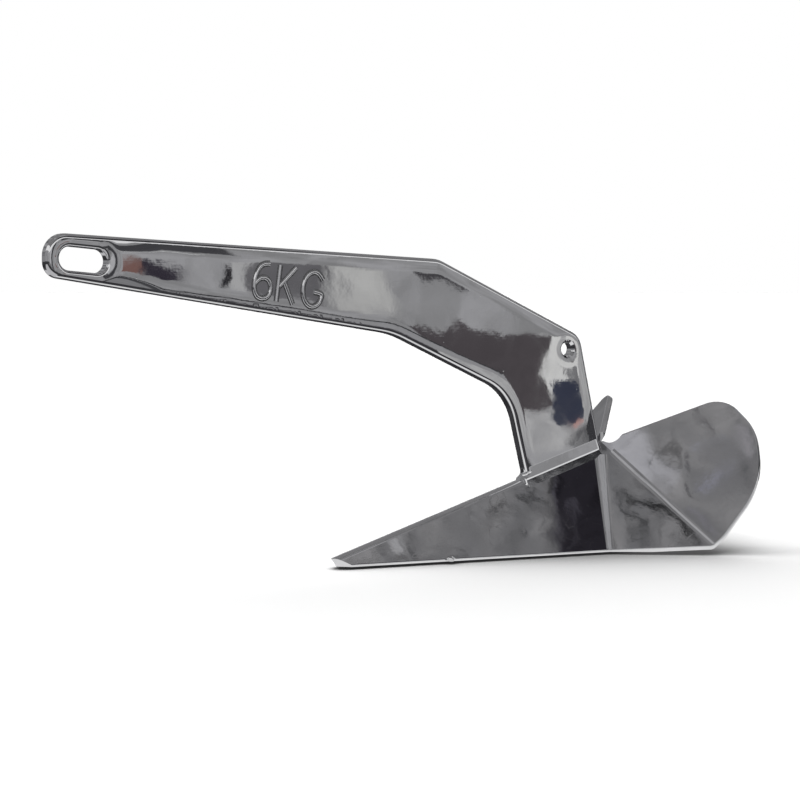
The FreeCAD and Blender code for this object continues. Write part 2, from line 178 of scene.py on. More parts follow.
def scuffs(tree, place, finish, roughness):
    """Added roughness of the curled scuffs from handling, most of them gathered in a few places."""
    curls = add(tree, "ShaderNodeTexNoise",
                {"Vector": place, "Scale": per_metre(finish.scuff_mm), "Detail": 1.5, "Roughness": 0.5,
                 "Distortion": 1.4})
    thin = add(tree, "ShaderNodeMapRange",
               {"Value": off_middle(tree, curls), "From Max": SCUFF_NEAR, "To Min": 1.0, "To Max": 0.0},
               interpolation_type="SMOOTHSTEP")
    places = add(tree, "ShaderNodeTexNoise",
                 {"Vector": place, "Scale": per_metre(finish.scuff_patch_mm), "Detail": 2.0})
    gathered = add(tree, "ShaderNodeMapRange",
                   {"Value": places.outputs["Fac"], "From Min": SCUFFED[0], "From Max": SCUFFED[1],
                    "To Min": 0.0, "To Max": roughness}, interpolation_type="SMOOTHSTEP")
    return add(tree, "ShaderNodeMath", {0: thin.outputs["Result"], 1: gathered.outputs["Result"]},
               operation="MULTIPLY").outputs[0]


def off_middle(tree, clouds):
    """How far a noise is from its middle value, which it reaches along thin curled lines."""
    apart = add(tree, "ShaderNodeMath", {0: clouds.outputs["Fac"], 1: 0.5}, operation="SUBTRACT").outputs[0]
    return add(tree, "ShaderNodeMath", {0: apart}, operation="ABSOLUTE").outputs[0]


def buffed_bar(finish):
    """Rolled stainless bar, ground along its length and buffed: a clear mirror that bends a little."""
    return steel("mirror_buffed_stainless_bar", finish, wave_mm=60.0, wave_height_mm=0.30, ripple_mm=9.0,
                 ripple_height_mm=0.012, roughness=0.02, lay=(0.0, 0.15, 0.0))


def buffed_sheet(finish):
    """Folded stainless sheet, buffed across its flats: a mirror with faint scuffs from lying about."""
    return steel("mirror_buffed_stainless_sheet", finish, wave_mm=50.0, wave_height_mm=0.25, ripple_mm=12.0,
                 ripple_height_mm=0.014, roughness=0.02, lay=(0.3, -0.25, 0.2), scuffing=0.06)


def ground_weld(finish):
    """Weld metal, ground hollow with a small wheel and buffed: short waves and a slightly softer mirror."""
    return steel("ground_stainless_weld", finish, wave_mm=14.0, wave_height_mm=0.05, ripple_mm=5.0,
                 ripple_height_mm=0.012, roughness=0.04)


def ground_ballast(finish):
    """Steel packed in the toe and ground flush, without buffing: dull, with no clear reflection."""
    return steel("brushed_stainless_ballast", finish, wave_mm=20.0, wave_height_mm=0.10, ripple_mm=6.0,
                 ripple_height_mm=0.03, roughness=0.30)


def raised_figure(finish):
    """The raised strokes of the figure, whose tops the buffing wheel has rounded: a soft mirror."""
    return steel("buffed_raised_figure", finish, wave_mm=30.0, wave_height_mm=0.08, ripple_mm=6.0,
                 ripple_height_mm=0.02, roughness=0.07)


def painted_shade_margin(finish):
    """The foot of the strokes, which the wheel can't reach: dull, and darkened as painted shade along the
    strokes.
    """
    return steel("painted_shade_margin", finish, wave_mm=30.0, wave_height_mm=0.08, ripple_mm=4.0,
                 ripple_height_mm=0.03, roughness=0.20, shade=0.30)


def unground_drop(finish):
    """A drop of weld metal left as it froze: uneven and a little dull."""
    return steel("unground_weld_drop", finish, wave_mm=5.0, wave_height_mm=0.05, ripple_mm=2.0,
                 ripple_height_mm=0.04, roughness=0.16, shade=0.8)


# The raised weight figure: each stroke is a run of points, in heights of the sign along and up

SIX = [[(0.44, 0.98), (0.20, 0.97), (0.03, 0.66), (0.00, 0.32), (0.10, 0.06), (0.30, 0.00), (0.50, 0.08),
        (0.58, 0.30), (0.50, 0.52), (0.31, 0.60), (0.12, 0.52), (0.03, 0.38)]]
KAY = [[(0.00, 1.00), (0.00, 0.50), (0.00, 0.00)], [(0.52, 1.00), (0.28, 0.70), (0.04, 0.42)],
       [(0.18, 0.58), (0.36, 0.30), (0.55, 0.00)]]
GEE = [[(0.66, 0.80), (0.52, 0.96), (0.33, 1.00), (0.10, 0.86), (0.00, 0.52), (0.09, 0.16), (0.33, 0.00),
        (0.58, 0.10), (0.68, 0.32), (0.67, 0.44), (0.40, 0.44)]]


def figure_runs(sizes, near_face):
    """Every stroke of the figure as a run of places on the arm's near face."""
    fall = Matrix.Rotation(sizes.tilt, 3, "Y")
    corner = Vector((sizes.left, near_face, sizes.bottom))
    runs = []
    start = 0.0
    for strokes, advance in ((SIX, sizes.six_advance), (KAY, sizes.k_advance), (GEE, 0.0)):
        for stroke in strokes:
            runs.append([corner + fall @ Vector((start + x * sizes.height, 0.0, z * sizes.height))
                         for x, z in stroke])
        start += advance
    return runs


def bead_mesh(name, runs, radius, rise, base):
    """Low beads along smooth paths on the plane y = base, as one mesh."""
    curve = bpy.data.curves.new(name, "CURVE")
    curve.dimensions = "3D"
    curve.bevel_depth = radius
    curve.bevel_resolution = 4
    curve.resolution_u = 10
    curve.use_fill_caps = True
    for run in runs:
        spline = curve.splines.new("NURBS")
        spline.points.add(len(run) - 1)
        for point, place in zip(spline.points, run):
            point.co = (*place, 1.0)
        spline.order_u = 3
        spline.use_endpoint_u = True
    holder = bpy.data.objects.new(name, curve)
    mesh = bpy.data.meshes.new_from_object(holder)
    bpy.data.objects.remove(holder)
    mesh.name = name
    for vert in mesh.vertices:
        vert.co.y = base + (vert.co.y - base) * rise / radius
    return mesh


# The shank's flats, rolled off towards their edges by the buffing wheel

# Places this near each other in metres are one place, and faces this near in angle are one plane
SAME_PLACE = 1e-6
SAME_PLANE = math.radians(0.05)
# How much of a flat's normal lies along Y, and how far down the way out of an underside points
SQUARE_TO_Y = 0.9999
UNDERSIDE = -0.7
# How far a corner is moved into its own face before its normal is looked up
INSIDE_FACE = 0.02


def is_flat(face):
    """Whether a face lies in one of the shank's two side planes."""
    return abs(face.normal.y) > SQUARE_TO_Y


def way_out(edge):
    """The direction across a border edge that leads out of the flat, seen from the side."""
    start, end = (vert.co for vert in edge.verts)
    beyond = next(face for face in edge.link_faces if not is_flat(face)).calc_center_median() - start
    along = (end - start).normalized()
    way = beyond - along * beyond.dot(along)
    way.y = 0.0
    return way.normalized()


def in_weld(edge, foot_top):
    """Whether a border edge is on the underside of the foot, which the weld hides."""
    return max(vert.co.z for vert in edge.verts) < foot_top and way_out(edge).z < UNDERSIDE


def border_loops(shape, foot_top):
    """The borders of the near flat, as one list of edges for each run."""
    rest = {edge for edge in shape.edges
            if len({is_flat(face) for face in edge.link_faces}) == 2 and edge.verts[0].co.y < 0.0
            and not in_weld(edge, foot_top)}
    loops = []
    while rest:
        loop = []
        reached = [rest.pop()]
        while reached:
            edge = reached.pop()
            loop.append(edge)
            touching = {other for vert in edge.verts for other in vert.link_edges} & rest
            rest -= touching
            reached += touching
        loops.append(loop)
    return loops


def border_tree(loop, step):
    """A search tree of points along a border seen from the side, and the way out of the flat at each."""
    points = []
    ways = []
    for edge in loop:
        start, end = (vert.co for vert in edge.verts)
        way = way_out(edge)
        count = max(1, math.ceil((end - start).length / step))
        for i in range(count + 1):
            points.append(start.lerp(end, i / count))
            ways.append(way)
    tree = kdtree.KDTree(len(points))
    for i, point in enumerate(points):
        tree.insert((point.x, 0.0, point.z), i)
    tree.balance()
    return tree, ways


def cut_grid(shape, low, high, cell):
    """Cuts a shape along X and along Z into cells of one size."""
    for axis in (0, 2):
        normal = Vector((0.0, 0.0, 0.0))
        normal[axis] = 1.0
        for i in range(1, math.ceil((high[axis] - low[axis]) / cell)):
            everything = shape.verts[:] + shape.edges[:] + shape.faces[:]
            bmesh.ops.bisect_plane(shape, geom=everything, dist=SAME_PLACE / 10,
                                   plane_co=low + normal * (i * cell), plane_no=normal)


def cad_normals(node, mesh):
    """The CAD node's smooth normal at every corner of a finer mesh."""
    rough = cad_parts[node].data
    rough.calc_loop_triangles()
    places = [vert.co.copy() for vert in rough.vertices]
    triangles = rough.loop_triangles
    tree = bvhtree.BVHTree.FromPolygons(places, [tuple(piece.vertices) for piece in triangles])
    found = []
    for face in mesh.polygons:
        for index in face.vertices:
            place = mesh.vertices[index].co
            hit, _, which, _ = tree.find_nearest(place.lerp(face.center, INSIDE_FACE))
            piece = triangles[which]
            corners = [places[i] for i in piece.vertices]
            normals = [Vector(rough.corner_normals[i].vector) for i in piece.loops]
            found.append(geometry.barycentric_transform(hit, *corners, *normals).normalized())
    return found


def fall_and_tilt(place, half, borders, sizes):
    """How far the surface has fallen at a place, in roll-off depths, and which way it leans there."""
    found = [(*tree.find((place.x, 0.0, place.z)), ways) for tree, ways in borders]
    side = abs(place.y)
    if side <= half - SAME_PLACE:
        _, which, _, ways = min(found, key=lambda border: border[2])
        return max(0.0, 1.0 - (half - side) / sizes.fillet), ways[which].copy()
    fallen = 0.0
    tilt = Vector((0.0, 0.0, 0.0))
    for _, which, apart, ways in found:
        near = max(0.0, 1.0 - apart / sizes.roll_width)
        fallen += near ** 2
        tilt += ways[which] * near
    return fallen, tilt


def rolled_shank(sizes):
    """A finer copy of the CAD shank whose flats fall away towards their edges, most of all at the eye."""
    low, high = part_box("shank")
    shape = bmesh.new()
    shape.from_mesh(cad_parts["shank"].data)
    bmesh.ops.remove_doubles(shape, verts=shape.verts, dist=SAME_PLACE)
    bmesh.ops.dissolve_limit(shape, angle_limit=SAME_PLANE, verts=shape.verts, edges=shape.edges)
    borders = [border_tree(loop, sizes.cell / 4) for loop in border_loops(shape, low.z + sizes.foot)]
    cut_grid(shape, low, high, sizes.cell)
    mesh = bpy.data.meshes.new("rolled_shank")
    shape.to_mesh(mesh)
    shape.free()

    normals = cad_normals("shank", mesh)
    tilts = []
    for vert in mesh.vertices:
        at_eye = min(1.0, max(0.0, (low.x + sizes.eye_length - vert.co.x) / sizes.eye_blend))
        depth = sizes.roll_depth * (1.0 + (sizes.eye_roll - 1.0) * at_eye)
        fallen, tilt = fall_and_tilt(vert.co, high.y, borders, sizes)
        tilts.append(tilt * 2.0 * depth / sizes.roll_width)
        vert.co.y -= math.copysign(fallen * depth, vert.co.y)
    corners = [index for face in mesh.polygons for index in face.vertices]
    tilted = [(normal + tilts[index] * abs(normal.y)).normalized() for normal, index in zip(normals, corners)]
    return mesh, tilted


# The drop of weld metal on the near blade's lower edge

# Lumps in its skin to each radius of the drop
COARSE_LUMPS = 1.7
FINE_LUMPS = 4.0


def burr_mesh(sizes):
    """A flattened drop of weld metal with an uneven skin, centred on its place."""
    shape = bmesh.new()
    bmesh.ops.create_icosphere(shape, subdivisions=4, radius=1.0)
    for vert in shape.verts:
        lumps = noise.noise(vert.co * COARSE_LUMPS) + 0.5 * noise.noise(vert.co * FINE_LUMPS)
        vert.co *= 1.0 + sizes.uneven * lumps
    bmesh.ops.scale(shape, vec=(sizes.length / 2, sizes.depth / 2, sizes.height / 2), verts=shape.verts)
    bmesh.ops.translate(shape, vec=sizes.place, verts=shape.verts)
    mesh = bpy.data.meshes.new("edge_burr")
    shape.to_mesh(mesh)
    shape.free()
    return mesh


def show(name, mesh, material):
    """Links a finished piece and hangs it on the anchor."""
    piece = bpy.data.objects.new(name, mesh)
    bpy.context.scene.collection.objects.link(piece)
    dress(piece, material)
    for face in mesh.polygons:
        face.use_smooth = True
    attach(piece, "root")
    return piece


# The studio's flags: glowing cards whose colours are painted reflections in the steel

# Glowing cards that only reflections see: painted reflections, which light nothing. Each lies in the plane of
# two axes, and its patches are convex outlines in that plane, anticlockwise, each with its soft edge and its
# colour.
FLAT, UPRIGHT, SIDEWAYS = (0, 1), (0, 2), (1, 2)
TURNS = {FLAT: (), UPRIGHT: ("X",), SIDEWAYS: ("X", "Z")}


def box(left, low, right, high):
    """The corners of a rectangle, anticlockwise."""
    return (left, low), (right, low), (right, high), (left, high)


def streak(start, end, width):
    """The corners of a thin straight streak, anticlockwise."""
    start, end = Vector(start), Vector(end)
    aside = (end - start).orthogonal().normalized() * (width / 2)
    return tuple(tuple(corner) for corner in (start - aside, end - aside, end + aside, start + aside))


CEILING_REFLECTIONS = (
    # Painted reflections: the pale middle of the blade, the dark end, and the black place behind the foot of
    # the weld
    (box(0.05, -1.40, 1.05, -0.50), 0.05, "#AEAEB0"),
    (box(-0.20, -3.90, 2.60, -1.95), 0.03, "#2A282E"),
    (box(1.62, -1.90, 2.36, -1.05), 0.04, "#2C2A30"),
    (box(1.46, -1.29, 1.78, -1.11), 0.02, "#2A282E"),
    # Painted reflections: two pale places on the wing
    (box(-1.06, -0.95, -0.74, 0.05), 0.04, "#BCBCBE"),
    (((-1.60, -0.43), (-1.42, -0.46), (-1.38, -0.28), (-1.60, -0.22)), 0.02, "#B8B8BC"),
    # Painted reflections that show as streaks along the blade
    (streak((1.215, -1.339), (1.244, -1.409), 0.007), 0.004, "#48484A"),
    (streak((1.238, -1.405), (1.298, -1.431), 0.006), 0.004, "#48484A"),
    (streak((1.298, -1.386), (1.381, -1.450), 0.006), 0.004, "#505052"),
    (streak((1.095, -1.378), (1.178, -1.378), 0.007), 0.005, "#5A5A5C"),
    (streak((1.163, -1.353), (1.210, -1.385), 0.022), 0.008, "#B4B4B6"),
    (streak((1.542, -1.321), (1.605, -1.378), 0.010), 0.006, "#3C3C3E"),
    (streak((1.641, -1.503), (1.652, -1.290), 0.012), 0.008, "#5A5860"),
    (streak((1.696, -1.518), (1.709, -1.383), 0.010), 0.008, "#4E4C54"),
    # Painted reflections that show as dark and pale marks on the wing
    (streak((-1.260, -0.427), (-1.324, -0.478), 0.007), 0.004, "#3E3D42"),
    (streak((-1.340, -0.493), (-1.363, -0.536), 0.006), 0.004, "#3E3D42"),
    (streak((-1.433, -0.498), (-1.460, -0.546), 0.007), 0.004, "#38373C"),
    (streak((-1.364, -0.467), (-1.401, -0.498), 0.006), 0.004, "#403F44"),
    (streak((-1.348, -0.471), (-1.309, -0.500), 0.010), 0.006, "#A6A8B4"),
    (streak((-1.423, -0.543), (-1.364, -0.554), 0.012), 0.007, "#9C9CA8"),
    (streak((-1.515, -0.561), (-1.517, -0.616), 0.014), 0.008, "#98969E"),
    (streak((-1.264, -0.520), (-1.312, -0.570), 0.029), 0.02, "#9E9CA0"),
    # Painted reflections that show as dark lines on the facet between blade and wing
    (streak((-0.378, -0.630), (-0.394, -0.430), 0.012), 0.004, "#1C1C1E"),
    (streak((-0.436, -0.560), (-0.410, -0.420), 0.009), 0.004, "#3A3A3C"),
)
FRONT_WALL_REFLECTIONS = (
    # Painted reflections along the arm, from the shackle slot to the bend
    (((1.533, 0.224), (1.590, 0.231), (1.620, 0.257), (1.601, 0.281), (1.533, 0.279), (1.500, 0.267),
      (1.484, 0.231)), 0.006, "#84655F"),
    (((1.595, 0.236), (1.629, 0.224), (1.664, 0.228), (1.675, 0.260), (1.651, 0.281), (1.623, 0.284),
      (1.595, 0.267)), 0.005, "#3A3640"),
    (((1.791, 0.262), (1.788, 0.214), (1.799, 0.192), (1.810, 0.228), (1.813, 0.272), (1.799, 0.281)),
     0.003, "#1E1C22"),
    (((1.818, 0.190), (1.870, 0.190), (1.876, 0.310), (1.818, 0.310)), 0.01, "#BDBDBD"),
    (((1.876, 0.214), (1.911, 0.180), (2.098, 0.178), (2.126, 0.238), (2.123, 0.300), (1.891, 0.305),
      (1.865, 0.281)), 0.005, "#706F72"),
    (((2.141, 0.156), (2.302, 0.137), (2.321, 0.190), (2.265, 0.293), (2.129, 0.293)), 0.025, "#C6C6C4"),
    (((2.407, 0.248), (2.475, 0.219), (2.558, 0.214), (2.542, 0.243), (2.455, 0.286), (2.372, 0.281)),
     0.005, "#4E4D50"),
    (((2.340, -0.218), (2.724, -0.218), (2.724, 0.128), (2.589, 0.137), (2.505, 0.125), (2.340, 0.142)),
     0.004, "#565154"),
    # Painted reflections along the arm's rolled upper edge
    (((1.30, 0.47), (1.86, 0.44), (1.80, 0.78), (1.30, 0.80)), 0.012, "#4A4A4D"),
    (((1.340, 0.425), (1.750, 0.400), (1.750, 0.412), (1.340, 0.440)), 0.004, "#D8D8D8"),
    # Painted reflections round the eye
    (box(0.95, -0.20, 1.12, 1.00), 0.02, "#454548"),
    (box(-1.20, 0.10, 0.92, 0.90), 0.02, "#C4C4C6"),
    # Painted highlight: the white line in the hollow of the weld
    (box(-3.00, 0.92, 6.00, 1.80), 0.02, "#FFFFFF"),
)
APRON_REFLECTIONS = (
    # Painted reflections: pale places low beside the anchor, for the arm's underside and the blade's lower
    # edge
    (box(-1.20, -0.25, -0.26, 0.50), 0.03, "#D0D0D2"),
    (((-0.30, -0.06), (0.28, -0.19), (0.50, -0.18), (0.50, 0.00), (0.20, 0.02), (-0.27, 0.10)), 0.012,
     "#FAFAFA"),
    (box(0.32, -0.22, 0.75, 0.25), 0.03, "#FFFFFF"),
    # Painted reflections in front of the bench, to its left and to its right
    (box(0.62, -0.84, 1.40, -0.42), 0.02, "#B0B0B2"),
    (box(-1.20, -3.00, 0.80, -0.95), 0.08, "#8C8C8E"),
    (box(1.22, -2.60, 2.60, -0.80), 0.03, "#A0A0A2"),
)
BENCH_REFLECTIONS = (
    # Painted reflection: the dark place that covers the neck, in two overlapping parts
    (((0.750, 0.022), (0.782, 0.022), (0.862, 0.111), (0.880, 0.140), (0.887, 0.162), (0.750, 0.170)),
     0.0022, "#565154"),
    (((0.750, 0.009), (0.817, 0.042), (0.857, 0.059), (0.880, 0.059), (0.874, 0.085), (0.862, 0.119),
      (0.750, 0.140)), 0.0022, "#565154"),
    # Painted reflection: the pale place round the trip-line hole, with a grey lobe below it
    (((0.864, 0.1245), (0.858, 0.101), (0.873, 0.077), (0.885, 0.072), (0.953, 0.111), (0.953, 0.177),
      (0.892, 0.177)), 0.0025, "#E6E6E4"),
    (((0.903, 0.090), (0.9385, 0.085), (0.931, 0.113), (0.915, 0.123), (0.903, 0.117)), 0.0022, "#838385"),
    # Painted reflections: the blue-black place low on the leg, the warm spot at its foot and the grey corner
    # by the weld
    (((0.869, 0.0485), (0.880, 0.038), (0.901, 0.0355), (0.919, 0.042), (0.940, 0.050), (0.942, 0.059),
      (0.933, 0.076), (0.921, 0.093), (0.901, 0.096), (0.8815, 0.088)), 0.0015, "#3E4252"),
    (((0.917, 0.034), (0.935, 0.038), (0.942, 0.046), (0.928, 0.0485), (0.9135, 0.0405)), 0.0015, "#C8A09A"),
    (((0.917, 0.0065), (0.9635, 0.0195), (0.956, 0.043), (0.928, 0.0315), (0.899, 0.0105)), 0.003, "#6E6E70"),
)

CLOUDY = {
    "cloud_mm": 200.0, "swirl": 0.6, "mottle": 0.1, "mottle_mm": 90.0, "sway": 0.0, "sway_mm": 60.0,
    "ragged": 4.0, "vein": 0.0, "patches": (),
}
FAR_WALL = {**CLOUDY, "cloud_mm": 500.0}
# Base colours of the bench cards, seen only as painted reflections in the steel
BENCH_CARD_GLOW = {
    **CLOUDY, "axes": UPRIGHT, "dark": "#AEAEAF", "light": "#C4C4C4", "cloud_mm": 30.0, "mottle": 0.06,
    "mottle_mm": 20.0, "sway": 0.022, "sway_mm": 22.0,
}
FLAGS = (
    {
        **CLOUDY, "name": "ceiling", "centre": (1.4, -0.45, 3.0), "width": 9.2, "height": 6.9, "axes": FLAT,
        "dark": "#7C7C7E", "light": "#999899", "swirl": 1.2, "mottle": 0.09, "mottle_mm": 60.0,
        "sway": 0.08, "sway_mm": 120.0, "ragged": 1.0, "vein": 0.6, "vein_mm": 110.0, "patches": CEILING_REFLECTIONS,
    },
    {
        **CLOUDY, "name": "valance", "centre": (1.5, -2.99, 2.61), "width": 9.0, "height": 0.78,
        "axes": UPRIGHT, "dark": "#6A6A6C", "light": "#808082", "mottle_mm": 80.0, "sway": 0.05,
        # Its dark band is a painted reflection below the white line in the hollow of the weld
        "patches": ((box(-3.0, 2.285, 6.0, 3.2), 0.02, "#343436"),),
    },
    {
        **CLOUDY, "name": "front_wall", "centre": (1.5, -3.0, 0.85), "width": 9.0, "height": 1.7,
        "axes": UPRIGHT, "dark": "#959596", "light": "#AEAEB0", "mottle": 0.08, "sway": 0.05,
        "patches": FRONT_WALL_REFLECTIONS,
    },
    {
        **FAR_WALL, "name": "back_wall", "centre": (1.4, 3.0, 1.5), "width": 9.2, "height": 3.0,
        "axes": UPRIGHT, "dark": "#6C6C6E", "light": "#AEAEB0",
    },
    {
        **FAR_WALL, "name": "left_wall", "centre": (-3.2, 0.0, 0.75), "width": 6.0, "height": 1.5,
        "axes": SIDEWAYS, "dark": "#8A8A8C", "light": "#B0B0B2",
    },
    {
        **FAR_WALL, "name": "right_wall", "centre": (6.0, 0.0, 1.5), "width": 6.0, "height": 3.0,
        "axes": SIDEWAYS, "dark": "#454548", "light": "#868688",
    },
    {
        **CLOUDY, "name": "apron", "centre": (1.4, 0.0, 0.002), "width": 9.2, "height": 6.0, "axes": FLAT,
        "dark": "#303032", "light": "#505053", "cloud_mm": 300.0, "sway": 0.03, "patches": APRON_REFLECTIONS,
    },
    {
        **BENCH_CARD_GLOW, "name": "bench", "centre": (0.993, -0.8, 0.083), "width": 0.415, "height": 0.166,
        "patches": BENCH_REFLECTIONS,
    },
    {
        **BENCH_CARD_GLOW, "name": "bench_end", "centre": (0.713, -0.8, 0.0425), "width": 0.145, "height": 0.085,
    },
)


def soft_shape(tree, place, corners, axes, soft):
    """A mask that is one inside a convex outline in a flag's plane and fades to nothing over a soft edge."""
    widest = None
    for start, end in zip(corners, corners[1:] + corners[:1]):
        way = Vector((end[1] - start[1], start[0] - end[0])).normalized()
        normal = [0.0, 0.0, 0.0]
        normal[axes[0]], normal[axes[1]] = way
        out = add(tree, "ShaderNodeVectorMath", {0: place, 1: normal}, operation="DOT_PRODUCT")
        apart = add(tree, "ShaderNodeMath", {0: out.outputs["Value"], 1: way.dot(start)},
                    operation="SUBTRACT").outputs[0]
        if widest is not None:
            apart = add(tree, "ShaderNodeMath", {0: widest, 1: apart}, operation="MAXIMUM").outputs[0]
        widest = apart
    inside = add(tree, "ShaderNodeMapRange",
                 {"Value": widest, "From Min": -soft, "From Max": soft, "To Min": 1.0, "To Max": 0.0},
                 interpolation_type="SMOOTHSTEP")
    return inside.outputs["Result"]


def flag_reflection_glow(flag):
    """Glow of a studio flag, seen only in the steel as painted reflection: grey clouds with darker and lighter
    patches.
    """
    material = new_material(flag["name"] + "_paint")
    tree = material.node_tree
    place = add(tree, "ShaderNodeTexCoord").outputs["Object"]

    # The patches have wavering outlines, because they are read at a place that sways
    sway = add(tree, "ShaderNodeTexNoise",
               {"Vector": place, "Scale": per_metre(flag["sway_mm"]), "Detail": flag["ragged"],
                "Roughness": 0.6})
    sway = add(tree, "ShaderNodeVectorMath", {0: sway.outputs["Color"], 1: (0.5, 0.5, 0.5)},
               operation="SUBTRACT")
    sway = add(tree, "ShaderNodeVectorMath", {0: sway.outputs["Vector"], "Scale": flag["sway"]},
               operation="SCALE")
    swayed = add(tree, "ShaderNodeVectorMath", {0: place, 1: sway.outputs["Vector"]}, operation="ADD")
    swayed = swayed.outputs["Vector"]

    clouds = add(tree, "ShaderNodeTexNoise",
                 {"Vector": place, "Scale": per_metre(flag["cloud_mm"]), "Detail": 3.0, "Roughness": 0.5,
                  "Distortion": flag["swirl"]})
    cover = add(tree, "ShaderNodeMapRange",
                {"Value": clouds.outputs["Fac"], "From Min": 0.35, "From Max": 0.65},
                interpolation_type="SMOOTHSTEP")
    reflected_glow = add(tree, "ShaderNodeMix",
                {"Factor": cover.outputs["Result"], "A": linear(flag["dark"]), "B": linear(flag["light"])},
                data_type="RGBA").outputs["Result"]
    for corners, soft, colour in flag["patches"]:
        inside = soft_shape(tree, swayed, corners, flag["axes"], soft)
        reflected_glow = add(tree, "ShaderNodeMix", {"Factor": inside, "A": reflected_glow, "B": linear(colour)},
                    data_type="RGBA").outputs["Result"]

    mottle = add(tree, "ShaderNodeTexNoise",
                 {"Vector": swayed, "Scale": per_metre(flag["mottle_mm"]), "Detail": 5.0, "Roughness": 0.6})
    level = add(tree, "ShaderNodeMapRange",
                {"Value": mottle.outputs["Fac"], "From Min": 0.3, "From Max": 0.7,
                 "To Min": 1.0 - flag["mottle"], "To Max": 1.0 + flag["mottle"]},
                interpolation_type="SMOOTHSTEP").outputs["Result"]
    if flag["vein"] > 0.0:
        # Thin darker lines, as folds in cloth, that show in the steel as painted reflection
        folds = add(tree, "ShaderNodeTexNoise",
                    {"Vector": place, "Scale": per_metre(flag["vein_mm"]), "Detail": 1.0, "Roughness": 0.4,
                     "Distortion": 1.0})
        kept = add(tree, "ShaderNodeMapRange",
                   {"Value": off_middle(tree, folds), "From Max": FOLD_NEAR, "To Min": 1.0 - flag["vein"],
                    "To Max": 1.0}, interpolation_type="SMOOTHSTEP")
        level = add(tree, "ShaderNodeMath", {0: level, 1: kept.outputs["Result"]},
                    operation="MULTIPLY").outputs[0]
    glow = add(tree, "ShaderNodeEmission", {"Color": reflected_glow, "Strength": level})
    add(tree, "ShaderNodeOutputMaterial", {"Surface": glow.outputs["Emission"]})
    return material


def hang_flag(flag):
    """Hangs a flat flag that only reflections see."""
    shape = bmesh.new()
    bmesh.ops.create_grid(shape, x_segments=1, y_segments=1, size=0.5)
    bmesh.ops.scale(shape, vec=(flag["width"], flag["height"], 1.0), verts=shape.verts)
    for axis in TURNS[flag["axes"]]:
        bmesh.ops.rotate(shape, matrix=Matrix.Rotation(math.radians(90.0), 3, axis), verts=shape.verts)
    bmesh.ops.translate(shape, vec=flag["centre"], verts=shape.verts)
    mesh = bpy.data.meshes.new(flag["name"])
    shape.to_mesh(mesh)
    shape.free()
    hung = bpy.data.objects.new(flag["name"], mesh)
    bpy.context.scene.collection.objects.link(hung)
    dress(hung, flag_reflection_glow(flag))
    for ray in ("camera", "diffuse", "transmission", "shadow", "volume_scatter"):
        setattr(hung, "visible_" + ray, False)


# The table, the surround, the key light and the camera

# The laminate's faint grain: its size, and how far it moves the reflectance either way
TABLE_GRAIN_MM = 300.0
TABLE_GRAIN = 0.004
# A place on the table is closed in where no more than this share of the room above it is open; the painted
# contact shadow is darkest there
CLOSED_IN = 0.35


def seen(tree):
    """One where the camera or a reflection looks, nothing for the rays that only carry light."""
    path = add(tree, "ShaderNodeLightPath")
    found = path.outputs["Is Camera Ray"]
    for other in ("Is Glossy Ray", "Is Transmission Ray"):
        found = add(tree, "ShaderNodeMath", {0: found, 1: path.outputs[other]},
                    operation="MAXIMUM").outputs[0]
    return found


def white_surround(strength):
    """An even white surround: full white where it is seen, plain soft light elsewhere."""
    world = bpy.data.worlds.new("white_surround")
    bpy.context.scene.world = world
    world.use_nodes = True
    tree = world.node_tree
    tree.nodes.clear()
    level = add(tree, "ShaderNodeMapRange", {"Value": seen(tree), "To Min": strength, "To Max": 1.0})
    light = add(tree, "ShaderNodeBackground",
                {"Color": linear("#FFFFFF"), "Strength": level.outputs["Result"]})
    add(tree, "ShaderNodeOutputWorld", {"Surface": light.outputs["Background"]})


def table_white(settings):
    """White laminate table top: even and matt, with the last of its white added where it is seen and a painted
    contact shadow close beside the anchor.
    """
    material = new_material("white_laminate")
    tree = material.node_tree
    place = add(tree, "ShaderNodeTexCoord").outputs["Object"]
    grain = add(tree, "ShaderNodeTexNoise",
                {"Vector": place, "Scale": per_metre(TABLE_GRAIN_MM), "Detail": 2.0})
    tone = add(tree, "ShaderNodeMapRange",
               {"Value": grain.outputs["Fac"], "From Min": 0.3, "From Max": 0.7,
                "To Min": settings.floor_white - TABLE_GRAIN, "To Max": settings.floor_white + TABLE_GRAIN},
               interpolation_type="SMOOTHSTEP").outputs["Result"]

    # Painted contact shadow: close beside the anchor, where the steel closes it in, an occlusion factor
    # darkens the table's colour and its added white
    open_room = add(tree, "ShaderNodeAmbientOcclusion", {"Distance": settings.contact_reach}).outputs["AO"]
    painted_contact_shadow = add(tree, "ShaderNodeMapRange",
                  {"Value": open_room, "From Min": CLOSED_IN, "To Min": settings.contact_level},
                  interpolation_type="SMOOTHSTEP").outputs["Result"]
    tone = add(tree, "ShaderNodeMath", {0: tone, 1: painted_contact_shadow}, operation="MULTIPLY").outputs[0]
    missing = 1.0 - settings.floor_white + settings.floor_lift
    lift = add(tree, "ShaderNodeMath", {0: seen(tree), 1: missing}, operation="MULTIPLY").outputs[0]
    lift = add(tree, "ShaderNodeMath", {0: lift, 1: painted_contact_shadow}, operation="MULTIPLY").outputs[0]

    matt = add(tree, "ShaderNodeBsdfDiffuse", {"Color": tone})
    white = add(tree, "ShaderNodeEmission", {"Color": linear("#FFFFFF"), "Strength": lift})
    both = add(tree, "ShaderNodeAddShader", {0: matt.outputs["BSDF"], 1: white.outputs["Emission"]})
    add(tree, "ShaderNodeOutputMaterial", {"Surface": both.outputs["Shader"]})
    return material


